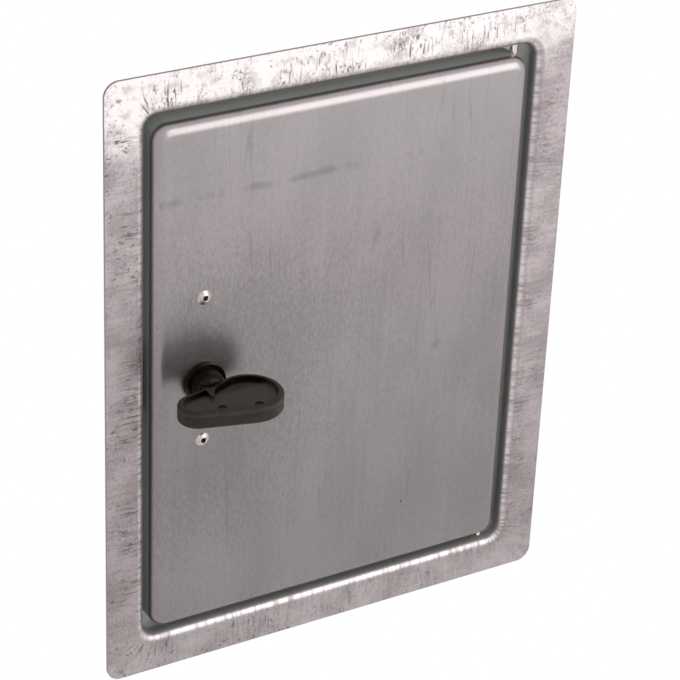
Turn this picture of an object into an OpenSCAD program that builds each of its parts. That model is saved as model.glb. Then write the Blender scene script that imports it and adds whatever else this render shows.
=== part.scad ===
// Wall inspection hatch. A drawn sheet-steel frame sits in a hole in the wall, a pressed
// door turns on two pins at its right side, and a wing handle moves a latch behind it.
// X runs to the right, Y runs into the wall and Z runs up. The origin is the centre of
// the opening on the face of the wall.

/* [Frame] */
// Width of the frame across its flange
frame_w = 200; // [190:1:240]
// Height of the frame across its flange
frame_h = 258; // [240:1:300]
// Thickness of the frame's sheet
frame_t = 1; // [0.8:0.1:1.2]
// Radius of the flange's outer corners
frame_corner_r = 6; // [2:0.5:10]
// Width of the flat part of the flange at the left and at the right
flange_w = 12.6; // [10:0.2:16]
// Height of the flat part of the flange at the top and at the bottom
flange_h = 12.4; // [10:0.2:16]
// Radius of the bend from the flange into the collar, on the side that shows
collar_bend_r = 4.4; // [3.2:0.2:5]
// Radius of the opening's corners
opening_corner_r = 5; // [4:0.5:7]
// Depth of the collar behind the face of the wall
collar_depth = 30; // [25:0.5:40]

/* [Wall screws] */
// Diameter of the screw holes in the collar's two sides
screw_hole_d = 4.5; // [3.5:0.5:6]
// Distance between the two screw holes in one side
screw_spacing = 160; // [120:5:180]
// Distance from the face of the wall to the screw holes
screw_setback = 16; // [12:0.5:18]

/* [Door] */
// Gap between the door and the collar at the left, where the latch is
lock_side_gap = 2; // [1.8:0.2:4]
// Gap between the door and the collar at the right, where the hinge is
hinge_side_gap = 3.6; // [3.4:0.2:5]
// Gap above the door
top_gap = 3.6; // [2:0.2:5]
// Gap below the door
bottom_gap = 2.8; // [2:0.2:5]
// Distance that the door's face stands in front of the flange
door_proud = 1.8; // [1:0.2:3]
// Thickness of the door's sheet
door_t = 1; // [0.8:0.1:1.2]
// Depth of the door from its face to its rear edge
door_depth = 12.5; // [11:0.5:13]
// Outer radius of the pressed edge round the door's face
door_edge_r = 4.4; // [3:0.2:4.6]
// Outer radius of the door's corners, seen from the front
door_corner_r = 6.6; // [5:0.2:10]

/* [Hinge] */
// Diameter of the hinge pins where they cross the gap
pin_d = 3.2; // [3:0.1:4]
// Diameter of the pivot that each pin ends in
pivot_d = 2.2; // [1.8:0.1:2.6]
// Distance from the door's right side to the hinge axis
hinge_inset = 4; // [3.8:0.2:5]
// Distance from the door's face back to the hinge axis
hinge_back = 6.4; // [6:0.2:6.6]
// Length of each pin outside the collar, where it is welded
pin_tail = 2; // [1.5:0.5:4]
// Length of the weld bead along the pin
weld_h = 1.4; // [1:0.2:1.5]
// Length of each pivot inside the door's edge
pivot_reach = 3; // [2:0.5:5]

/* [Keeper] */
// Thickness of the keeper angle on the collar's left side
keeper_t = 1.5; // [1.2:0.1:2]
// Height of the keeper angle
keeper_h = 30; // [24:1:50]
// Length of the leg that is welded to the collar
keeper_foot = 12; // [8:0.5:14]
// Length of the leg that the latch hooks behind
keeper_lip = 9; // [7:0.5:10]
// Inner radius of the keeper's bend
keeper_bend_r = 1; // [0.5:0.1:1.5]

/* [Lock] */
// Distance from the door's left side to the lock's axis
lock_inset = 21; // [20:0.5:23]
// Height of the upper rivet above the lock's axis
upper_rivet_up = 36; // [33:0.5:45]
// Distance of the lower rivet below the lock's axis
lower_rivet_down = 25.8; // [24:0.2:35]
// Thickness of the bridge that carries the lock behind the door
bridge_t = 2; // [1.5:0.1:2.2]
// Length of the bridge's feet under the rivets
bridge_foot = 12; // [10:0.5:13]
// Width of the latch
latch_w = 18; // [14:0.5:20]
// Thickness of the latch
latch_t = 2.5; // [2:0.1:3]
// Length of the bevel that leads the latch behind the keeper
latch_bevel = 4; // [2:0.5:5]
// Height of the lugs that stop the latch, behind the bridge
stop_lug_h = 4; // [3:0.5:5]
// Length of the lugs that stop the latch
stop_lug_w = 5; // [4:0.5:6]

/* [Spindle] */
// Diameter of the spindle in its bush
spindle_d = 10; // [9:0.2:11]
// Width across the flats of the spindle's square ends
spindle_square = 7; // [6:0.2:7.4]
// Length of the square end that is moulded into the handle
spindle_tang = 6.6; // [5:0.2:7]
// Diameter of the spindle's threaded end
thread_d = 6; // [5:0.5:6]
// Wall of the plastic bush
bush_wall = 1.5; // [1:0.1:2]
// Width of the bush's shoulder
bush_shoulder = 2; // [1:0.5:3]
// Thickness of the bush's shoulder
bush_shoulder_t = 1.5; // [1:0.1:2]
// Diameter of the sealing washer under the handle
seal_d = 15.4; // [14:0.2:15.6]
// Thickness of the sealing washer
seal_t = 0.6; // [0.4:0.1:1]
// Height of the disc spring between the bridge and the latch
spring_h = 1.2; // [1:0.1:1.6]
// Sheet thickness of the disc spring
spring_t = 0.6; // [0.4:0.1:0.8]
// Width of the disc spring's ring
spring_ring = 3; // [2:0.5:4]
// Diameter of the plain washer on the latch
washer_d = 14; // [12:0.5:16]
// Thickness of the plain washer
washer_t = 1.2; // [1:0.1:1.6]
// Diameter of the split spring washer
split_washer_d = 11; // [9.5:0.5:12]
// Thickness of the split spring washer
split_washer_t = 1.4; // [1:0.1:1.6]
// Width across the flats of the nut
nut_w = 10; // [8:0.5:10]
// Height of the nut
nut_h = 5; // [3:0.5:5]
// Length of thread that stands out of the nut
thread_end = 1.2; // [0.5:0.1:2]

/* [Rivets] */
// Diameter of the rivets' shanks
rivet_d = 3.2; // [3:0.1:3.4]
// Diameter of the rivets' heads
rivet_head_d = 6; // [5.5:0.1:6.5]
// Height of the rivets' domed heads
rivet_head_h = 1.2; // [0.9:0.1:1.4]
// Diameter of the mandrels left in the rivets
mandrel_d = 2; // [1.6:0.1:2.2]
// Width of the chamfer round the hole in each rivet's head
rivet_mouth = 0.4; // [0.2:0.1:0.5]
// Diameter of the bulge that closes each rivet behind the bridge
rivet_bulge_d = 4.8; // [4.4:0.1:5.4]
// Length of that bulge
rivet_bulge_h = 2.4; // [2:0.1:3]

/* [Handle] */
// Diameter of the handle's round base
base_d = 16.8; // [15.8:0.2:18]
// Thickness of the handle's round base
base_t = 1.8; // [1.4:0.1:2.4]
// Diameter of the neck where it leaves the base
neck_d = 14; // [13.6:0.2:15]
// Diameter of the neck where it meets the wing
neck_top_d = 12.8; // [12:0.2:13.4]
// Radius of the neck's rounded shoulder
neck_round = 3.2; // [2:0.1:3.4]
// Depth to which the wing's rear edge sinks into the neck, on the lock's axis
neck_lap = 0.8; // [0.4:0.1:1.2]
// Thickness of the wing
wing_t = 7; // [5:0.2:8]
// Distance from the door's face to the wing's centre line
wing_reach = 19; // [18:0.2:24]
// Radius of the wing's large right lobe
large_lobe_r = 13.2; // [12:0.2:14]
// Distance from the lock's axis to the large lobe's centre
large_lobe_x = 9.6; // [8:0.2:11]
// Radius of the wing's small left lobe
small_lobe_r = 7.7; // [7:0.1:9]
// Distance from the lock's axis to the small lobe's centre
small_lobe_x = 12.1; // [10:0.1:14]
// Radius of the wing's outer edges
wing_edge_r = 1.2; // [0.4:0.1:1.6]
// Width of the rim round the wing's recesses
rim_w = 2.2; // [1.6:0.1:2.6]
// Depth of the recess in each side of the wing
recess_depth = 1.5; // [0.8:0.1:2.2]
// Width of the boss that carries the wing on the neck
boss_w = 10; // [9.6:0.2:11]
// Length by which that boss runs into the wing's recess, past its rim on the lock's axis
boss_run = 9; // [6:0.2:10]
// Radius of the boss's corners
boss_corner_r = 1; // [0.5:0.1:1.5]
// Radius of the round wall that the recess has beside the boss
hollow_r = 9.6; // [9:0.1:10]
// Distance from the lock's axis to the middle of that round wall
hollow_x = 5.6; // [5:0.1:6]
// Diameter of the marks that the mould's pins leave in the recess
mark_d = 3.6; // [2:0.2:4]
// Depth of those marks
mark_depth = 0.7; // [0.2:0.1:0.8]

/* [Fits] */
// Radial clearance of a shaft or pin in its hole
running_clearance = 0.05; // [0.02:0.01:0.08]
// Gap between flat faces that move past each other
face_gap = 0.3; // [0.2:0.05:0.5]
// Gap between the latch's tip and the keeper's foot
tip_gap = 1; // [0.7:0.1:1.6]

/* [Hidden] */
$fn = 96;
// Length that a cutting tool runs past the material on each side
cut = 1;
// Length by which a bend's section runs on into its flat sheet, so that the two join in the flat
sheet_lap = (door_corner_r - door_edge_r) / 2;

// Opening and door, from the frame
opening_w = frame_w - 2 * (flange_w + collar_bend_r);
opening_h = frame_h - 2 * (flange_h + collar_bend_r);
door_w = opening_w - lock_side_gap - hinge_side_gap;
door_h = opening_h - top_gap - bottom_gap;
door_x = (lock_side_gap - hinge_side_gap) / 2;
door_z = (bottom_gap - top_gap) / 2;
door_face_y = -frame_t - door_proud;
door_inner_y = door_face_y + door_t;
door_rear_y = door_face_y + door_depth;

// Hinge axis
hinge_x = door_x + door_w / 2 - hinge_inset;
hinge_y = door_face_y + hinge_back;

// Lock axis, and what stands behind it in order from the front
lock_x = door_x - door_w / 2 + lock_inset;
lock_z = 0;
keeper_y = door_rear_y + face_gap;
latch_y = keeper_y + keeper_t + face_gap;
bridge_rear_y = latch_y - spring_h - face_gap / 3;
latch_rear_y = latch_y + latch_t;
latch_r = lock_x + opening_w / 2 - keeper_t - tip_gap;
bridge_w = latch_w + 2 * (bridge_t + face_gap);
rivet_z = [lock_z + upper_rivet_up, lock_z - lower_rivet_down];

// Handle
handle_rear = seal_t + face_gap / 3;
lobe_span = large_lobe_x + small_lobe_x;
lobe_slope = asin((large_lobe_r - small_lobe_r) / lobe_span);
// Half the wing's width on the lock's axis, and the height at which the neck's shoulder starts
wing_half = (small_lobe_r + sin(lobe_slope) * small_lobe_x) / cos(lobe_slope);
neck_h = wing_reach - wing_half + neck_lap - neck_round;

// Flat rounded rectangle, centred
module round_rect(w, h, r) {
    square([w - 2 * r, h], center = true);
    square([w, h - 2 * r], center = true);
    for (x = [-1, 1], y = [-1, 1])
        translate([x * (w / 2 - r), y * (h / 2 - r)]) circle(r);
}

// Sweeps a profile round a rounded rectangle. The profile's x points outwards from the
// rectangle's line and its y points into the wall.
module sweep_round_rect(w, h, r) {
    rotate([-90, 0, 0]) {
        for (c = [[1, 1, 0], [-1, 1, 90], [-1, -1, 180], [1, -1, 270]])
            translate([c[0] * (w / 2 - r), c[1] * (h / 2 - r), 0])
                rotate([0, 0, c[2]])
                    rotate_extrude(angle = 90)
                        translate([r, 0]) children();
        for (side = [[0, w, h], [90, h, w], [180, w, h], [270, h, w]])
            rotate([0, 0, side[0]])
                translate([side[1] / 2 - r, 0, 0])
                    rotate([90, 0, 0])
                        linear_extrude(2 * (side[2] / 2 - r), center = true)
                            translate([r, 0]) children();
    }
}

// Quarter of a ring in the sector between the directions -x and -y
module quarter_bend(r, t) {
    intersection() {
        difference() {
            circle(r);
            circle(r - t);
        }
        translate([-r, -r]) square(r);
    }
}

// Slab in the plane of the door, from a given depth, thickness towards +Y
module slab(y, t) {
    translate([0, y + t, 0]) rotate([90, 0, 0]) linear_extrude(t) children();
}

// Round stock along the lock's axis, between two depths
module lock_rod(d, y0, y1) {
    translate([lock_x, y1, lock_z]) rotate([90, 0, 0]) cylinder(d = d, h = y1 - y0);
}

// Square stock along the lock's axis, between two depths
module lock_bar(w, y0, y1) {
    translate([lock_x - w / 2, y0, lock_z - w / 2]) cube([w, y1 - y0, w]);
}

// Turns a profile round the lock's axis: x is the radius, y the height above the door
module lock_turned() {
    translate([lock_x, door_face_y, lock_z]) rotate([90, 0, 0]) rotate_extrude() children();
}

// Drawn from one sheet: flange, rounded bend and collar, with screw and pin holes
module frame() {
    color("gainsboro") difference() {
        union() {
            slab(-frame_t, frame_t) difference() {
                round_rect(frame_w, frame_h, frame_corner_r);
                round_rect(
                    opening_w + 2 * collar_bend_r,
                    opening_h + 2 * collar_bend_r,
                    opening_corner_r + collar_bend_r
                );
            }
            sweep_round_rect(opening_w, opening_h, opening_corner_r) {
                union() {
                    translate([collar_bend_r, collar_bend_r - frame_t])
                        quarter_bend(collar_bend_r, frame_t);
                    translate([0, collar_bend_r - frame_t])
                        square([frame_t, collar_depth - collar_bend_r + frame_t]);
                    translate([collar_bend_r, -frame_t]) square([sheet_lap, frame_t]);
                }
            }
        }
        for (z = [-1, 1])
            translate([-frame_w / 2, screw_setback, z * screw_spacing / 2])
                rotate([0, 90, 0]) cylinder(d = screw_hole_d, h = frame_w);
        translate([hinge_x, hinge_y, -frame_h / 2])
            cylinder(r = pin_d / 2 + running_clearance, h = frame_h);
    }
}

// Angle welded inside the collar's left side: the door closes on its front, and the
// latch hooks behind it
module keeper() {
    bend = keeper_bend_r + keeper_t;
    color("silver")
        translate([-opening_w / 2, keeper_y, lock_z - keeper_h / 2])
            linear_extrude(keeper_h) {
                translate([bend, bend]) quarter_bend(bend, keeper_t);
                translate([0, bend]) square([keeper_t, keeper_foot - bend]);
                translate([bend, 0]) square([keeper_lip - bend, keeper_t]);
            }
}

// Shouldered pin through the collar, welded outside it, with its pivot in the door
module hinge_pin(side, door_edge_z) {
    collar_z = opening_h / 2 + frame_t;
    shoulder_z = abs(door_edge_z) + face_gap / 2;
    tip_z = abs(door_edge_z) - door_t - pivot_reach;
    weld_y = collar_bend_r - frame_t;
    mirror([0, 0, side < 0 ? 1 : 0]) {
        translate([hinge_x, hinge_y, shoulder_z])
            cylinder(d = pin_d, h = collar_z + pin_tail - shoulder_z);
        translate([hinge_x, hinge_y, tip_z])
            cylinder(d = pivot_d, h = shoulder_z - tip_z + cut / 2);
        intersection() {
            translate([hinge_x, hinge_y, collar_z])
                cylinder(r1 = pin_d / 2 + weld_h, r2 = pin_d / 2, h = weld_h);
            translate([hinge_x - pin_d - weld_h, weld_y, collar_z])
                cube([2 * (pin_d + weld_h), pin_d + weld_h, weld_h]);
        }
    }
}

module hinge_pin_upper() {
    color("whitesmoke") hinge_pin(1, door_z + door_h / 2);
}

module hinge_pin_lower() {
    color("whitesmoke") hinge_pin(-1, door_z - door_h / 2);
}

// Pressed from one sheet: flat face, rounded edge and a rim all round
module door() {
    color("darkgray") difference() {
        translate([door_x, 0, door_z]) {
            slab(door_face_y, door_t)
                round_rect(
                    door_w - 2 * door_edge_r,
                    door_h - 2 * door_edge_r,
                    door_corner_r - door_edge_r
                );
            translate([0, door_face_y, 0])
                sweep_round_rect(door_w, door_h, door_corner_r) {
                    union() {
                        translate([-door_edge_r, door_edge_r])
                            mirror([1, 0]) quarter_bend(door_edge_r, door_t);
                        translate([-door_t, door_edge_r])
                            square([door_t, door_depth - door_edge_r]);
                        translate([-door_edge_r - sheet_lap, 0]) square([sheet_lap, door_t]);
                    }
                }
        }
        translate([hinge_x, hinge_y, -door_h])
            cylinder(r = pivot_d / 2 + running_clearance, h = 2 * door_h);
        lock_rod(
            spindle_d + 2 * (bush_wall + 2 * running_clearance),
            door_face_y - cut, door_inner_y + cut
        );
        rivet_holes(door_face_y - cut, door_inner_y + cut);
    }
}

module rivet_holes(y0, y1) {
    for (z = rivet_z)
        translate([lock_x, y1, z]) rotate([90, 0, 0])
            cylinder(r = rivet_d / 2 + running_clearance, h = y1 - y0);
}

// Bent steel bridge behind the door. Its feet are riveted to the door, its raised middle
// carries the bush, and two lugs stop the latch a quarter turn apart.
module lock_bridge() {
    foot_top = rivet_z[0] + bridge_foot / 2;
    foot_bottom = rivet_z[1] - bridge_foot / 2;
    leg_run = (bridge_rear_y - door_inner_y - bridge_t) / 2;
    deck_top = rivet_z[0] - bridge_foot / 2 - leg_run;
    deck_bottom = rivet_z[1] + bridge_foot / 2 + leg_run;
    front = door_inner_y;
    deck = bridge_rear_y - bridge_t;
    lug_x = latch_w / 2 + face_gap;
    color("silver") difference() {
        union() {
            translate([lock_x - bridge_w / 2, 0, 0]) rotate([90, 0, 90])
                linear_extrude(bridge_w) polygon([
                    [front, foot_bottom],
                    [front, rivet_z[1] + bridge_foot / 2],
                    [deck, deck_bottom],
                    [deck, deck_top],
                    [front, rivet_z[0] - bridge_foot / 2],
                    [front, foot_top],
                    [front + bridge_t, foot_top],
                    [front + bridge_t, rivet_z[0] - bridge_foot / 2 + bridge_t / 2],
                    [bridge_rear_y, deck_top + bridge_t / 2],
                    [bridge_rear_y, deck_bottom - bridge_t / 2],
                    [front + bridge_t, rivet_z[1] + bridge_foot / 2 - bridge_t / 2],
                    [front + bridge_t, foot_bottom]
                ]);
            translate([lock_x + lug_x, deck, lock_z - lug_x])
                cube([bridge_t, bridge_t + stop_lug_h, stop_lug_w]);
            translate([lock_x - lug_x - bridge_t, deck, lock_z + lug_x])
                cube([bridge_t, bridge_t + stop_lug_h, stop_lug_w]);
        }
        lock_rod(
            spindle_d + 2 * (bush_wall + 2 * running_clearance),
            deck - cut, bridge_rear_y + cut
        );
        rivet_holes(front - cut, front + bridge_t + cut);
    }
}

// Two blind rivets, each a tube with a domed head and a bulge behind the bridge's foot
module rivet_bodies() {
    dome_r = (pow(rivet_head_h, 2) + pow(rivet_head_d / 2, 2)) / (2 * rivet_head_h);
    grip = door_t + bridge_t;
    bore = mandrel_d / 2 + running_clearance;
    color("lightgray") for (z = rivet_z)
        translate([lock_x, door_face_y, z]) rotate([90, 0, 0]) rotate_extrude()
            difference() {
                union() {
                    intersection() {
                        translate([0, rivet_head_h - dome_r]) circle(dome_r);
                        square([rivet_head_d, rivet_head_h]);
                    }
                    translate([0, -grip - rivet_bulge_h])
                        square([rivet_d / 2, grip + rivet_bulge_h + cut / 2]);
                    translate([0, -grip - rivet_bulge_h]) square([rivet_bulge_d / 2, rivet_bulge_h]);
                }
                translate([-bore, -grip - rivet_bulge_h - cut])
                    square([2 * bore, grip + rivet_bulge_h + rivet_head_h + 2 * cut]);
                polygon([
                    [0, rivet_head_h - rivet_mouth],
                    [bore, rivet_head_h - rivet_mouth],
                    [bore + rivet_mouth + cut, rivet_head_h + cut],
                    [0, rivet_head_h + cut]
                ]);
                translate([-dome_r * 2, -dome_r * 3]) square([dome_r * 2, dome_r * 6]);
            }
}

// What is left of the rivets' mandrels: a stem broken off level with the door's face, and
// a ball
module rivet_mandrels() {
    grip = door_t + bridge_t;
    ball_r = mandrel_d * 0.75;
    color("dimgray") for (z = rivet_z)
        translate([lock_x, door_face_y, z]) rotate([90, 0, 0]) {
            translate([0, 0, -grip - rivet_bulge_h - ball_r])
                cylinder(d = mandrel_d, h = grip + rivet_bulge_h + ball_r);
            translate([0, 0, -grip - rivet_bulge_h - ball_r]) sphere(ball_r);
        }
}

// Plastic sleeve between the door and the bridge, in which the spindle turns
module spindle_bush() {
    outer_d = spindle_d + 2 * (running_clearance + bush_wall);
    color("dimgray") difference() {
        union() {
            lock_rod(outer_d, door_face_y, bridge_rear_y);
            lock_rod(outer_d + 2 * bush_shoulder, door_inner_y, door_inner_y + bush_shoulder_t);
        }
        lock_rod(spindle_d + 2 * running_clearance, door_face_y - cut, bridge_rear_y + cut);
    }
}

// Flat rubber washer that keeps rain out under the handle's base
module seal_washer() {
    color("black") difference() {
        lock_rod(seal_d, door_face_y - seal_t, door_face_y);
        lock_rod(spindle_d + 4 * running_clearance, door_face_y - seal_t - cut, door_face_y + cut);
    }
}

// Area between the wing's two lobes, bounded by their common tangents, drawn inset by a
// given width and lapping into each lobe
module wing_waist(inset) {
    small = small_lobe_r - inset;
    large = large_lobe_r - inset;
    side = [-sin(lobe_slope), cos(lobe_slope)];
    polygon([
        [-small_lobe_x - small / 2, 0],
        [-small_lobe_x + small * side[0], small * side[1]],
        [large_lobe_x + large * side[0], large * side[1]],
        [large_lobe_x + large / 2, 0],
        [large_lobe_x + large * side[0], -large * side[1]],
        [-small_lobe_x + small * side[0], -small * side[1]]
    ]);
}

// Half of the wing's section, from a lobe's centre to its rounded outer edge
module wing_section(r) {
    intersection() {
        round_rect(2 * r, wing_t, wing_edge_r);
        translate([0, -wing_t]) square([r + cut, 2 * wing_t]);
    }
}

// Wing before its recesses are cut: each lobe is turned, and the section is drawn
// straight along both common tangents
module wing_blank() {
    tangent = lobe_span * cos(lobe_slope);
    translate([-small_lobe_x, 0, 0]) rotate([0, 0, 90 + lobe_slope])
        rotate_extrude(angle = 180 - 2 * lobe_slope) wing_section(small_lobe_r);
    translate([large_lobe_x, 0, 0]) rotate([0, 0, -90 - lobe_slope])
        rotate_extrude(angle = 180 + 2 * lobe_slope) wing_section(large_lobe_r);
    for (side = [0, 1])
        mirror([0, side, 0])
            translate([-small_lobe_x, 0, 0]) rotate([0, 0, 90 + lobe_slope])
                rotate([90, 0, 0]) linear_extrude(tangent) wing_section(small_lobe_r);
    translate([0, 0, -wing_t / 2]) linear_extrude(wing_t) wing_waist(2 * wing_edge_r);
}

// Outline of the boss, from inside the neck to its end in the recess
module wing_boss() {
    end = wing_half - boss_run;
    start = wing_reach - neck_h;
    translate([0, (start + end) / 2]) round_rect(boss_w, start - end, boss_corner_r);
}

// Pocket for one side of the wing. The boss stays, and the round hollow beside it cuts the
// boss down to a narrow tip.
module wing_pocket() {
    depth = 2 * recess_depth;
    translate([large_lobe_x, 0, 0]) cylinder(r = large_lobe_r - rim_w, h = depth);
    translate([hollow_x, 0, 0]) cylinder(r = hollow_r, h = depth);
    difference() {
        union() {
            translate([-small_lobe_x, 0, 0]) cylinder(r = small_lobe_r - rim_w, h = depth);
            linear_extrude(depth) wing_waist(rim_w);
        }
        translate([0, 0, -cut]) linear_extrude(depth + 2 * cut) wing_boss();
    }
}

// Section of the handle's base and neck: x is the radius, y the height above the door
module neck_section() {
    neck_r = neck_top_d / 2;
    translate([0, handle_rear]) square([base_d / 2, base_t]);
    polygon([
        [0, handle_rear],
        [neck_d / 2, handle_rear + base_t],
        [neck_r, neck_h],
        [0, neck_h]
    ]);
    translate([0, neck_h - cut]) square([neck_r - neck_round, neck_round + cut]);
    intersection() {
        translate([neck_r - neck_round, neck_h]) circle(neck_round);
        translate([0, neck_h - cut]) square([neck_r + cut, neck_round + 2 * cut]);
    }
}

// Black plastic handle in one moulding: round base, neck and recessed wing
module handle() {
    color([0.11, 0.1, 0.09]) difference() {
        union() {
            lock_turned() neck_section();
            translate([lock_x, door_face_y - wing_reach, lock_z]) difference() {
                union() {
                    wing_blank();
                    translate([0, 0, -wing_t / 2]) linear_extrude(wing_t) wing_boss();
                }
                for (side = [-1, 1])
                    translate([0, 0, side * wing_t / 2 - recess_depth]) wing_pocket();
                for (p = [[-small_lobe_x / 3, -large_lobe_r / 3], [large_lobe_x, -large_lobe_r * 0.6]])
                    translate([p[0], p[1], wing_t / 2 - recess_depth - mark_depth])
                        cylinder(d = mark_d, h = mark_depth + cut);
            }
        }
        lock_bar(spindle_square, door_face_y - handle_rear - spindle_tang, door_face_y);
    }
}

// Steel spindle: square tang in the handle, round journal, square seat for the latch and
// a threaded end, drawn plain
module spindle() {
    seat_end = latch_rear_y - face_gap / 2;
    thread_end_y = latch_rear_y + washer_t + split_washer_t + nut_h + thread_end;
    color("silver") {
        lock_bar(spindle_square, door_face_y - handle_rear - spindle_tang, door_face_y - handle_rear);
        lock_rod(spindle_d, door_face_y - handle_rear, latch_y);
        lock_bar(spindle_square, latch_y, seat_end);
        lock_rod(thread_d, seat_end - cut, thread_end_y);
    }
}

// Conical spring steel ring that presses the latch back and keeps the handle from
// turning by itself
module disc_spring() {
    inner_r = spindle_d / 2 + 2 * running_clearance;
    color("dimgray") translate([lock_x, latch_y, lock_z]) rotate([90, 0, 0]) rotate_extrude()
        polygon([
            [inner_r, 0],
            [inner_r + spring_ring, spring_h - spring_t],
            [inner_r + spring_ring, spring_h],
            [inner_r, spring_t]
        ]);
}

// Flat steel latch on the spindle's square, with a round tip and a bevelled leading edge.
// It hangs down when the door is free to open.
module latch() {
    color("silver") difference() {
        translate([lock_x, latch_y, lock_z]) intersection() {
            rotate([-90, 0, 0]) linear_extrude(latch_t) {
                circle(d = latch_w);
                translate([-latch_w / 2, 0]) square([latch_w, latch_r]);
            }
            rotate([-90, 0, 0]) cylinder(r = latch_r, h = latch_t);
        }
        lock_bar(spindle_square + 2 * running_clearance, latch_y - cut, latch_rear_y + cut);
        translate([lock_x - latch_w / 2 + latch_bevel, latch_y, lock_z - latch_r - cut])
            rotate([0, 0, -atan(latch_t / 2 / latch_bevel)])
                translate([-latch_w, -latch_w, 0])
                    cube([2 * latch_w, latch_w, latch_r + cut - latch_w / 2]);
    }
}

module washer_ring(d, y, t) {
    difference() {
        lock_rod(d, y, y + t);
        lock_rod(thread_d + 4 * running_clearance, y - cut, y + t + cut);
    }
}

module latch_washer() {
    color("gainsboro") washer_ring(washer_d, latch_rear_y, washer_t);
}

// Spring washer, split at the top by a slanting cut
module split_washer() {
    y = latch_rear_y + washer_t;
    color("gray") difference() {
        washer_ring(split_washer_d, y, split_washer_t);
        translate([lock_x, y + split_washer_t / 2, lock_z + split_washer_d / 2])
            rotate([0, 0, 30])
                cube([split_washer_t / 2, 4 * split_washer_t, split_washer_d], center = true);
    }
}

// Hexagon nut with its corners turned off at both ends
module latch_nut() {
    y = latch_rear_y + washer_t + split_washer_t;
    corner_d = nut_w / cos(30);
    color("gainsboro") difference() {
        intersection() {
            translate([lock_x, y + nut_h, lock_z]) rotate([90, 0, 0])
                cylinder(d = corner_d, h = nut_h, $fn = 6);
            union() {
                for (end = [0, 1])
                    translate([lock_x, y + nut_h / 2, lock_z]) rotate([end == 0 ? 90 : -90, 0, 0])
                        cylinder(
                            d1 = nut_w + nut_h, d2 = nut_w, h = nut_h / 2
                        );
            }
        }
        lock_rod(thread_d + 2 * running_clearance, y - cut, y + nut_h + cut);
    }
}

frame();
keeper();
hinge_pin_upper();
hinge_pin_lower();
door();
lock_bridge();
rivet_bodies();
rivet_mandrels();
spindle_bush();
seal_washer();
handle();
spindle();
disc_spring();
latch();
latch_washer();
split_washer();
latch_nut();
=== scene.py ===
from math import radians

import bpy
from mathutils import Matrix, Vector

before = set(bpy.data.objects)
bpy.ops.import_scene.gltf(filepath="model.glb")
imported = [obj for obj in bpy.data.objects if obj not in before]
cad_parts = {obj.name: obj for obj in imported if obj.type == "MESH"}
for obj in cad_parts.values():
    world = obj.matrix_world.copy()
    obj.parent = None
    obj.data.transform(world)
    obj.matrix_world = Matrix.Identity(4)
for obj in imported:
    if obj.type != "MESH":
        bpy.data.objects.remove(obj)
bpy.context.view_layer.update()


# Frame: one drawing of hot-dip galvanised sheet steel, with a flat flange, a bend round the
# opening and a collar behind it. Its zinc is cloudy, whitened along the top, where painted light
# also brightens it, and flecked where the drawing stretched it at the bend.


class Value:
    """A socket of a node tree. Arithmetic on it adds Math nodes."""

    def __init__(self, owner, socket):
        self.owner = owner
        self.socket = socket

    def math(self, operation, *others):
        sockets = dict(enumerate((self, *others)))
        return self.owner.node("ShaderNodeMath", sockets, operation=operation)

    def __add__(self, other):
        return self.math("ADD", other)

    __radd__ = __add__

    def __sub__(self, other):
        return self.math("SUBTRACT", other)

    def __rsub__(self, other):
        return self * -1 + other

    def __mul__(self, other):
        return self.math("MULTIPLY", other)

    __rmul__ = __mul__

    def __abs__(self):
        return self.math("ABSOLUTE")

    def most(self, other):
        """The larger of the two."""
        return self.math("MAXIMUM", other)

    def least(self, other):
        """The smaller of the two."""
        return self.math("MINIMUM", other)

    def ramp(self, low, high):
        """0 below low, 1 above high and smooth between them."""
        sockets = {"Value": self, "From Min": low, "From Max": high}
        return self.owner.node("ShaderNodeMapRange", sockets, interpolation_type="SMOOTHSTEP")


class Nodes:
    """An emptied node tree, to which one method adds any node."""

    def __init__(self, tree):
        self.tree = tree
        tree.nodes.clear()

    def node(self, kind, sockets=None, output=0, **settings):
        """A node with those settings, and with values or links in its sockets."""
        node = self.tree.nodes.new(kind)
        for name, setting in settings.items():
            setattr(node, name, setting)
        for key, value in (sockets or {}).items():
            if isinstance(value, Value):
                self.tree.links.new(value.socket, node.inputs[key])
            else:
                node.inputs[key].default_value = value
        return Value(self, node.outputs[output]) if node.outputs else None


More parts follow.
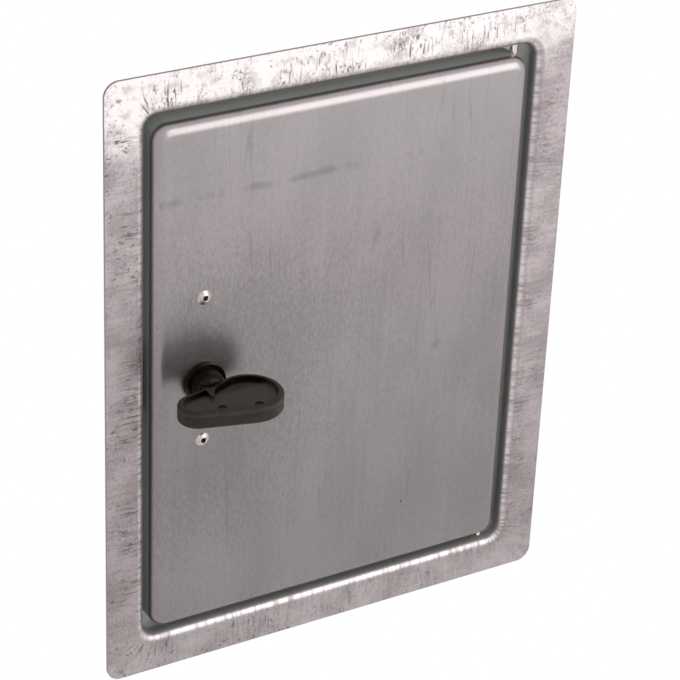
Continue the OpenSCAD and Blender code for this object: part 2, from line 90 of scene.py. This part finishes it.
class Finish(Nodes):
    """A procedural material, whose patterns lie in the object's own coordinates."""

    def __init__(self, name):
        self.material = bpy.data.materials.new(name)
        self.material.use_nodes = True
        super().__init__(self.material.node_tree)
        self.place = self.node("ShaderNodeTexCoord", output="Object")
        self.x, self.y, self.z = (
            self.node("ShaderNodeSeparateXYZ", {0: self.place}, output=axis) for axis in "XYZ"
        )

    def point(self, x, y, z):
        return self.node("ShaderNodeCombineXYZ", {"X": x, "Y": y, "Z": z})

    def noise(self, per_metre, detail=2.0, at=None, w=None):
        """Noise from 0 to 1, with that many cells to a metre, or to a metre on each axis."""
        at = at or self.place
        if isinstance(per_metre, tuple):
            at = self.node("ShaderNodeVectorMath", {0: at, 1: per_metre}, operation="MULTIPLY")
            per_metre = 1.0
        sockets = {"Vector": at, "Scale": per_metre, "Detail": detail}
        if w is None:
            return self.node("ShaderNodeTexNoise", sockets)
        return self.node("ShaderNodeTexNoise", {"W": w, **sockets}, noise_dimensions="4D")

    def mix(self, share, first, second):
        """The first colour where share is 0, the second where it is 1."""
        first, second = (c if isinstance(c, Value) else (*c, 1.0) for c in (first, second))
        colours = {0: share, 6: first, 7: second}
        return self.node("ShaderNodeMix", colours, output=2, data_type="RGBA")

    def bump(self, height, depth):
        """A normal from a height of 0 to 1 that stands for that depth in metres."""
        return self.node("ShaderNodeBump", {"Height": height, "Distance": depth})

    def surface(self, **sockets):
        named = {name.replace("_", " "): value for name, value in sockets.items()}
        shader = self.node("ShaderNodeBsdfPrincipled", named)
        self.node("ShaderNodeOutputMaterial", {"Surface": shader})

    def on(self, *pieces):
        for piece in pieces:
            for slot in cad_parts[piece].material_slots:
                slot.material = self.material


frame_zinc = Finish("frame_zinc")

# The core is a rectangle through the centres of the opening's rounded corners. Its nearest point
# gives the distance and way outwards, and places a pattern along the bend and round its corners
opening_half_width = 0.0830
opening_half_height = 0.1122
opening_corner = 0.005
corner_spread = 0.012
core_half_width = opening_half_width - opening_corner
core_half_height = opening_half_height - opening_corner
near_x = frame_zinc.x.most(-core_half_width).least(core_half_width)
near_z = frame_zinc.z.most(-core_half_height).least(core_half_height)
out_x = frame_zinc.x - near_x
out_z = frame_zinc.z - near_z
outward = (out_x * out_x + out_z * out_z).math("SQRT")
corner = out_z.math("ARCTAN2", out_x) * corner_spread
round_bend = frame_zinc.point(near_x, corner, near_z)

# Round the bend's own centre, the turn is 0 on the collar and a right angle on the flange
sheet = 0.001
bend_radius = 0.0044
bend_x = (opening_corner + bend_radius - outward).most(0.0)
bend_y = (bend_radius - sheet - frame_zinc.y).most(0.0)
turn = bend_y.math("ARCTAN2", bend_x)
from_bend_centre = (bend_x * bend_x + bend_y * bend_y).math("SQRT")
room_side = from_bend_centre.ramp(bend_radius - 0.0008, bend_radius - 0.0002)
flange = turn.ramp(1.15, 1.5) * room_side

# Clouds, grit and fine lines that the drawing left across the bend make up the zinc's tone
clouds = frame_zinc.noise(75.0)
grit = frame_zinc.noise(900.0, detail=3.0)
drawn = frame_zinc.noise(800.0, at=round_bend, w=outward * 0.09)
tone = clouds * 0.42 + grit * 0.33 + drawn * 0.25
zinc_dull = (0.355, 0.306, 0.316)
zinc_pale = (0.515, 0.449, 0.462)
colour = frame_zinc.mix(tone.ramp(0.40, 0.60), zinc_dull, zinc_pale)

# It has bloomed almost white along the flange's top, and a little along its foot. This whitening
# is partly painted light
zinc_bloom_and_highlight = (0.92, 0.862, 0.860)
ragged_height = frame_zinc.z - frame_zinc.x * 0.06 + clouds * 0.03 + grit * 0.012
bloom_and_light = ragged_height.ramp(0.118, 0.143) * flange
foot_bloom_and_light = (1 - frame_zinc.z.ramp(-0.124, -0.106)) * 0.16
colour = frame_zinc.mix((bloom_and_light + foot_bloom_and_light) * tone.ramp(0.30, 0.50), colour, zinc_bloom_and_highlight)

# Small brown stains are spread over the flange
zinc_stain = (0.42, 0.36, 0.335)
stains = frame_zinc.noise(230.0, detail=4.0).ramp(0.50, 0.70) * flange
colour = frame_zinc.mix(stains * 0.5, colour, zinc_stain)

# Dark streaks and flecks run out from the bend, in clusters, most of all along the top and left
zinc_fleck = (0.10, 0.08, 0.08)
clusters = frame_zinc.noise(42.0, detail=1.0) + bloom_and_light * 0.05
near_bend = 1 - outward.ramp(0.0135, 0.0205)
streaks = frame_zinc.noise(1100.0, detail=3.0, at=round_bend, w=outward * 0.12)
flecks = frame_zinc.noise(760.0, detail=3.0, at=round_bend, w=outward * 0.6)
specks = frame_zinc.noise(560.0, detail=1.0).ramp(0.69, 0.75)
streaked = streaks.ramp(0.53, 0.66) * clusters.ramp(0.46, 0.57) * near_bend
flecked = flecks.ramp(0.57, 0.68) * clusters.ramp(0.48, 0.58)
marks = streaked.most(flecked).most(specks * 0.6) * flange
marks = marks * (0.60 + bloom_and_light * 0.25 - frame_zinc.x * 1.2)
colour = frame_zinc.mix(marks, colour, zinc_fleck)

# Painted shade darkens the zinc towards the bottom left
black = (0.0, 0.0, 0.0)
painted_shade_low_left = 1 - (frame_zinc.z + frame_zinc.x * 0.35).ramp(-0.10, 0.09)
colour = frame_zinc.mix(painted_shade_low_left * 0.21, colour, black)

# The cut edge is bare, darker steel
flange_half_width = 0.100
flange_half_height = 0.129
flange_corner = 0.006
zinc_cut = (0.28, 0.23, 0.23)
beyond_x = (abs(frame_zinc.x) - (flange_half_width - flange_corner)).most(0.0)
beyond_z = (abs(frame_zinc.z) - (flange_half_height - flange_corner)).most(0.0)
from_corner = (beyond_x * beyond_x + beyond_z * beyond_z).math("SQRT")
cut_edge = from_corner.ramp(flange_corner - 0.0002, flange_corner - 0.00004)
colour = frame_zinc.mix(cut_edge, colour, zinc_cut)

# The drawing has polished the bend's outer half, where a painted highlight lies too. At the
# right the polish lies a little further in, and painted shade dulls the bend outside it
zinc_right_bend_shade = (0.20, 0.185, 0.195)
right = out_x.ramp(0.001, 0.004)
polish_turn = turn + right * 0.1
polish_and_highlight = polish_turn.ramp(0.75, 1.0) * (1 - polish_turn.ramp(1.2, 1.5)) * room_side
colour = frame_zinc.mix(polish_and_highlight * drawn.ramp(0.35, 0.6) * 0.4, colour, zinc_bloom_and_highlight)
right_bend_shade = polish_turn.ramp(1.10, 1.25) * (1 - turn.ramp(1.38, 1.52)) * room_side * right
colour = frame_zinc.mix(right_bend_shade * 0.25, colour, zinc_right_bend_shade)

# Grime and painted shade from the gap cover the inner half of the bend, darkest on the bend, and
# the collar's inner side, where they thin out towards the back
grime_and_shade_dark = (0.13, 0.137, 0.125)
grime_and_shade_pale = (0.46, 0.49, 0.46)
grime_and_shade = (1 - polish_turn.ramp(0.62, 0.98)) * room_side * (1 - frame_zinc.y.ramp(0.012, 0.024))
grime_and_shade_colour = frame_zinc.mix(frame_zinc.y.ramp(0.002, 0.006), grime_and_shade_dark, grime_and_shade_pale)
colour = frame_zinc.mix(grime_and_shade * 0.85, colour, grime_and_shade_colour)

frame_zinc.surface(
    Base_Color=colour,
    Metallic=0.92 - bloom_and_light * 0.3 - marks * 0.5 - grime_and_shade * 0.55,
    Roughness=0.36 + tone * 0.14 + bloom_and_light * 0.1 + grime_and_shade * 0.15 - polish_and_highlight * 0.06,
    Normal=frame_zinc.bump(grit * 0.5 + drawn * 0.5, depth=0.00005),
)
frame_zinc.on("frame")


# Keeper, bridge and latch: cut and bent from steel strip, and zinc plated. The keeper is an
# angle welded inside the collar's left side. The door closes on it, and the latch, which turns
# behind the riveted bridge, hooks behind it.

plating_dull = (0.40, 0.39, 0.36)
plating_pale = (0.60, 0.60, 0.58)
bracket_zinc = Finish("bracket_zinc")
haze = bracket_zinc.noise(90.0, detail=3.0)
rolled = bracket_zinc.noise((1500.0, 1500.0, 120.0))
plating = (haze * 0.7 + rolled * 0.3).ramp(0.36, 0.62)
bracket_zinc.surface(
    Base_Color=bracket_zinc.mix(plating, plating_dull, plating_pale),
    Metallic=0.95,
    Roughness=0.3 + haze * 0.2,
    Normal=bracket_zinc.bump(rolled, depth=0.00003),
)
bracket_zinc.on("keeper", "lock_bridge", "latch")


# Hinge pins, spindle, washer and nut: plain steel, bright zinc plated. The pins are pushed
# through the collar from outside and welded there. The nut holds the latch on the spindle.

steel_filmed = (0.66, 0.61, 0.60)
steel_bright = (0.82, 0.78, 0.77)
bright_steel = Finish("bright_steel")
turned = bright_steel.noise((300.0, 300.0, 4000.0), detail=1.0)
film = bright_steel.noise(260.0, detail=3.0)
bright_steel.surface(
    Base_Color=bright_steel.mix(film.ramp(0.35, 0.65), steel_filmed, steel_bright),
    Metallic=1.0,
    Roughness=0.07 + film * 0.08,
    Normal=bright_steel.bump(turned, depth=0.000004),
)
bright_steel.on("hinge_pin_upper", "hinge_pin_lower", "spindle", "latch_washer", "latch_nut")


# Door: pressed from one galvanised sheet, with a rounded edge and a rim all round, and hung on
# the two pins. The rolling grain runs up and down, and the face is worn smoother than the frame.

door_zinc = Finish("door_zinc")
grain = door_zinc.noise((1000.0, 1000.0, 420.0), detail=4.0)
rolled = door_zinc.noise((420.0, 420.0, 14.0))
broad = door_zinc.noise((34.0, 34.0, 16.0))
wear = grain * 0.42 + rolled * 0.13 + broad * 0.45
door_dull = (0.288, 0.258, 0.260)
door_pale = (0.358, 0.321, 0.323)
door_colour = door_zinc.mix(wear.ramp(0.38, 0.62), door_dull, door_pale)

# Painted shade darkens it towards the bottom, and painted light brightens it towards the top,
# most of all at the right
door_painted_shade = (0.185, 0.175, 0.172)
door_painted_light = (0.435, 0.400, 0.403)
low = 1 - door_zinc.z.ramp(-0.12, 0.08)
door_colour = door_zinc.mix(low * 0.5, door_colour, door_painted_shade)
high = door_zinc.z.ramp(0.02, 0.115) * (0.5 + door_zinc.x * 2)
door_colour = door_zinc.mix(high, door_colour, door_painted_light)

# Thin dark lines run along the grain in places
door_line = (0.12, 0.105, 0.105)
strands = abs(door_zinc.noise((150.0, 150.0, 5.0), detail=1.0) - 0.5)
in_places = door_zinc.noise((40.0, 40.0, 25.0)).ramp(0.45, 0.6)
lines = (1 - strands.ramp(0.002, 0.012)) * in_places * 0.22
door_colour = door_zinc.mix(lines, door_colour, door_line)

# A dashed scuff crosses the door's face near its top
door_face_y = -0.0028
scuff_z = 0.0800
scuff = 1 - abs(door_zinc.z - scuff_z + broad * 0.004).ramp(0.0004, 0.0024)
broken_up = door_zinc.noise((90.0, 90.0, 40.0), detail=4.0) - door_zinc.x * 1.2
face = 1 - door_zinc.y.ramp(door_face_y + 0.0004, door_face_y + 0.0008)
scuff = scuff * broken_up.ramp(0.46, 0.64) * face * 0.26


def spot(x, z, radius, strength):
    """A soft round spot on the door's face, whose edge the grain breaks up."""
    centre = {0: door_zinc.place, 1: (x, door_face_y, z)}
    reach = door_zinc.node("ShaderNodeVectorMath", centre, output="Value", operation="DISTANCE")
    return (1 - (reach + grain * radius * 0.8).ramp(radius * 0.7, radius * 1.5)) * strength


# A rubbed spot and a pinprick mark the face, and the broad dark spot at the left is a painted
# reflection
rubbed_spot = spot(x=0.044, z=-0.009, radius=0.003, strength=0.2)
pinprick = spot(x=0.032, z=-0.080, radius=0.0007, strength=0.95)
painted_dark_reflection = spot(x=-0.070, z=-0.012, radius=0.075, strength=0.2)
scuff_and_reflection_dark = (0.06, 0.055, 0.052)
scuffs_and_reflection = scuff.most(rubbed_spot).most(pinprick).most(painted_dark_reflection)
door_colour = door_zinc.mix(scuffs_and_reflection, door_colour, scuff_and_reflection_dark)

# Grime lies on the rim, in the gap, and thins out towards its rear edge. Its pale colour is
# partly painted light in the dim gap
rim_grime_and_light = (0.52, 0.55, 0.52)
rim = door_zinc.y.ramp(0.0006, 0.0022) * (1 - door_zinc.y.ramp(0.0055, 0.0090) * 0.7)
door_colour = door_zinc.mix(rim * 0.85, door_colour, rim_grime_and_light)
door_zinc.surface(
    Base_Color=door_colour,
    Metallic=0.92 - rim * 0.5,
    Roughness=0.27 + wear * 0.12 + rim * 0.2,
    Normal=door_zinc.bump(grain * 0.6 + broad * 0.4, depth=0.00002),
)
door_zinc.on("door")


# Rivets: two blind rivets hold the bridge behind the door. The bodies are aluminium with
# domed heads, and the steel mandrels have broken off inside them.

head_dull = (0.44, 0.37, 0.37)
head_bright = (0.58, 0.51, 0.51)
rivet_aluminium = Finish("rivet_aluminium")
handling = rivet_aluminium.noise(900.0)
rivet_aluminium.surface(
    Base_Color=rivet_aluminium.mix(handling.ramp(0.4, 0.62), head_dull, head_bright),
    Metallic=1.0,
    Roughness=0.24 + handling * 0.14,
    Normal=rivet_aluminium.bump(handling, depth=0.000004),
)
rivet_aluminium.on("rivet_bodies")

# The mandrels are painted near-black, as painted shade deep in the rivet holes
mandrel_shade_dark = (0.02, 0.018, 0.016)
mandrel_shade_torn = (0.07, 0.06, 0.055)
mandrel_steel = Finish("mandrel_steel")
broken = mandrel_steel.noise(2600.0, detail=3.0)
mandrel_steel.surface(
    Base_Color=mandrel_steel.mix(broken.ramp(0.4, 0.65), mandrel_shade_dark, mandrel_shade_torn),
    Metallic=0.9,
    Roughness=0.5 + broken * 0.2,
    Normal=mandrel_steel.bump(broken, depth=0.0001),
)
mandrel_steel.on("rivet_mandrels")


# Bush: a flanged nylon sleeve between the door and the bridge, in which the spindle turns. It
# is one dull, dark moulding.

nylon_dark = (0.09, 0.09, 0.09)
nylon_pale = (0.14, 0.14, 0.135)
bush_plastic = Finish("bush_plastic")
moulded = bush_plastic.noise(1200.0)
bush_plastic.surface(
    Base_Color=bush_plastic.mix(moulded.ramp(0.4, 0.6), nylon_dark, nylon_pale),
    Roughness=0.5 + moulded * 0.15,
    Normal=bush_plastic.bump(moulded, depth=0.00003),
)
bush_plastic.on("spindle_bush")


# Seal washer: cut from black sheet rubber, and held between the handle's base and the door,
# where it keeps the rain out.

rubber_dark = (0.02, 0.02, 0.02)
rubber_pale = (0.045, 0.043, 0.042)
seal_rubber = Finish("seal_rubber")
calendered = seal_rubber.noise(2200.0)
seal_rubber.surface(
    Base_Color=seal_rubber.mix(calendered.ramp(0.4, 0.6), rubber_dark, rubber_pale),
    Roughness=0.75 + calendered * 0.15,
    Normal=seal_rubber.bump(calendered, depth=0.00003),
)
seal_rubber.on("seal_washer")


# Handle: one moulding of black plastic round the spindle's square end. The wing is satin with
# a fine texture, and the mould has polished the neck and the round base.

wing_dark = (0.0265, 0.0220, 0.0205)
wing_pale = (0.0400, 0.0330, 0.0300)
wing_dust_and_highlight = (0.053, 0.0455, 0.0375)
base_black = (0.0050, 0.0027, 0.0012)
handle_plastic = Finish("handle_plastic")
texture = handle_plastic.noise(1900.0, detail=3.0)
dust = handle_plastic.noise(230.0, detail=3.0)
wing_rear_y = -0.0190
neck_front_y = -0.0150
wing = 1 - handle_plastic.y.ramp(wing_rear_y, neck_front_y)
wing_tone = (dust * 0.6 + texture * 0.4).ramp(0.38, 0.62)
wing_colour = handle_plastic.mix(wing_tone, wing_dark, wing_pale)

# Dust lies in the recess on the wing's top, and thinly on the rim round it. On the upper part of
# the wing's sides the same pale colour is a painted highlight
recess_z = 0.0020
on_rim = handle_plastic.z.ramp(recess_z + 0.0003, recess_z + 0.0009)
on_top = handle_plastic.z.ramp(recess_z - 0.0008, recess_z - 0.0001)
dust_and_highlight = on_top * (1 - on_rim * 0.85) * (0.65 + dust * 0.5)
wing_colour = handle_plastic.mix(dust_and_highlight, wing_colour, wing_dust_and_highlight)
handle_plastic.surface(
    Base_Color=handle_plastic.mix(wing, base_black, wing_colour),
    Roughness=0.14 + wing * 0.2 + dust * 0.08,
    Specular_IOR_Level=0.12,
    Normal=handle_plastic.bump(texture * wing, depth=0.00004),
)
handle_plastic.on("handle")


# Disc spring and split washer: hardened steel, oiled and dark. The one presses the latch away
# from the bridge, and the other keeps the nut from working loose.

spring_dark = (0.16, 0.155, 0.16)
spring_pale = (0.34, 0.335, 0.345)
spring_steel = Finish("spring_steel")
oil = spring_steel.noise(500.0, detail=3.0)
spring_steel.surface(
    Base_Color=spring_steel.mix(oil.ramp(0.36, 0.64), spring_dark, spring_pale),
    Metallic=1.0,
    Roughness=0.3 + oil * 0.2,
    Normal=spring_steel.bump(oil, depth=0.00002),
)
spring_steel.on("disc_spring", "split_washer")


# Studio: a pale floor well below the hatch, a soft key light in front of it, above and to the
# right, and a world that is dimmer behind it. The camera and reflections see plain white.

floor_z = -0.55
floor_half = 8.0
round_the_floor = ((-1, -1), (1, -1), (1, 1), (-1, 1))
floor_corners = [(floor_half * x, floor_half * y, floor_z) for x, y in round_the_floor]
floor_mesh = bpy.data.meshes.new("floor")
floor_mesh.from_pydata(floor_corners, [], [(0, 1, 2, 3)])
floor = bpy.data.objects.new("floor", floor_mesh)
bpy.context.collection.objects.link(floor)


def white_where_seen(nodes, lit, shown, output):
    """The lit shader for the light, and the white one for the camera and in reflections."""
    seen = nodes.node("ShaderNodeLightPath", output="Is Camera Ray")
    for ray in ("Is Glossy Ray", "Is Transmission Ray"):
        seen = seen.most(nodes.node("ShaderNodeLightPath", output=ray))
    both = nodes.node("ShaderNodeMixShader", {0: seen, 1: lit, 2: shown})
    nodes.node(output, {"Surface": both})


# The floor glows as a light for the hatch: a painted pool of light where the key would fall,
# less to the left, and dim behind the hatch
white = (1, 1, 1, 1)
warm_white = (1, 0.99, 0.98, 1)
floor_paint = Finish("floor_paint")
round_hatch = floor_paint.x.math("ARCTAN2", floor_paint.y * -1)
glow_right = 1 - abs(round_hatch - 0.75).ramp(0.35, 1.25)
glow_left = 1 - abs(round_hatch + 1.40).ramp(0.15, 0.65)
from_hatch = (floor_paint.x * floor_paint.x + floor_paint.y * floor_paint.y).math("SQRT")
far = from_hatch.ramp(1.0, 1.7)
floor_glow = (0.16 + glow_right * 0.69) * (1 + far * 0.6) + glow_left * 0.8
white_where_seen(
    floor_paint,
    floor_paint.node("ShaderNodeEmission", {"Color": warm_white, "Strength": floor_glow}),
    floor_paint.node("ShaderNodeEmission", {"Color": white, "Strength": 1.0}),
    "ShaderNodeOutputMaterial",
)
floor_mesh.materials.append(floor_paint.material)

world = bpy.data.worlds.new("studio")
bpy.context.scene.world = world
world.use_nodes = True
sky = Nodes(world.node_tree)
direction = sky.node("ShaderNodeTexCoord", output="Generated")
sky_y = sky.node("ShaderNodeSeparateXYZ", {0: direction}, output="Y")
sky_z = sky.node("ShaderNodeSeparateXYZ", {0: direction}, output="Z")
in_front = 1 - sky_y.ramp(-0.6, 0.4)
above = sky_z.ramp(-0.1, 0.9)
sky_level = 0.34 + in_front * 0.12 + above * 0.2
white_where_seen(
    sky,
    sky.node("ShaderNodeBackground", {"Color": white, "Strength": sky_level}),
    sky.node("ShaderNodeBackground", {"Color": white, "Strength": 1.0}),
    "ShaderNodeOutputWorld",
)

key = bpy.data.lights.new("key", "AREA")
key.shape = "RECTANGLE"
key.size = 1.1
key.size_y = 1.55
key.energy = 11.0
key_place = Vector((0.71, -1.30, 0.57))
towards_hatch = (-key_place).to_track_quat("-Z", "Y").to_matrix().to_4x4()
key_stand = bpy.data.objects.new("key", key)
key_stand.matrix_world = Matrix.Translation(key_place) @ towards_hatch
key_stand.visible_camera = False
bpy.context.collection.objects.link(key_stand)

camera = bpy.data.cameras.new("camera")
camera.sensor_width = 36.0
camera.lens = 137.47
camera.clip_start = 0.05
camera.clip_end = 40.0
camera_place = (-0.4543, -0.7611, 0.4940)
turned_right = radians(30.90)
tilted_down = radians(29.03)
rolled_left = radians(2.505)
tripod = bpy.data.objects.new("camera", camera)
tripod.matrix_world = (
    Matrix.Translation(camera_place)
    @ Matrix.Rotation(-turned_right, 4, "Z")
    @ Matrix.Rotation(radians(90) - tilted_down, 4, "X")
    @ Matrix.Rotation(rolled_left, 4, "Z")
)
bpy.context.collection.objects.link(tripod)
bpy.context.scene.camera = tripod
bpy.context.scene.view_settings.view_transform = "Standard"
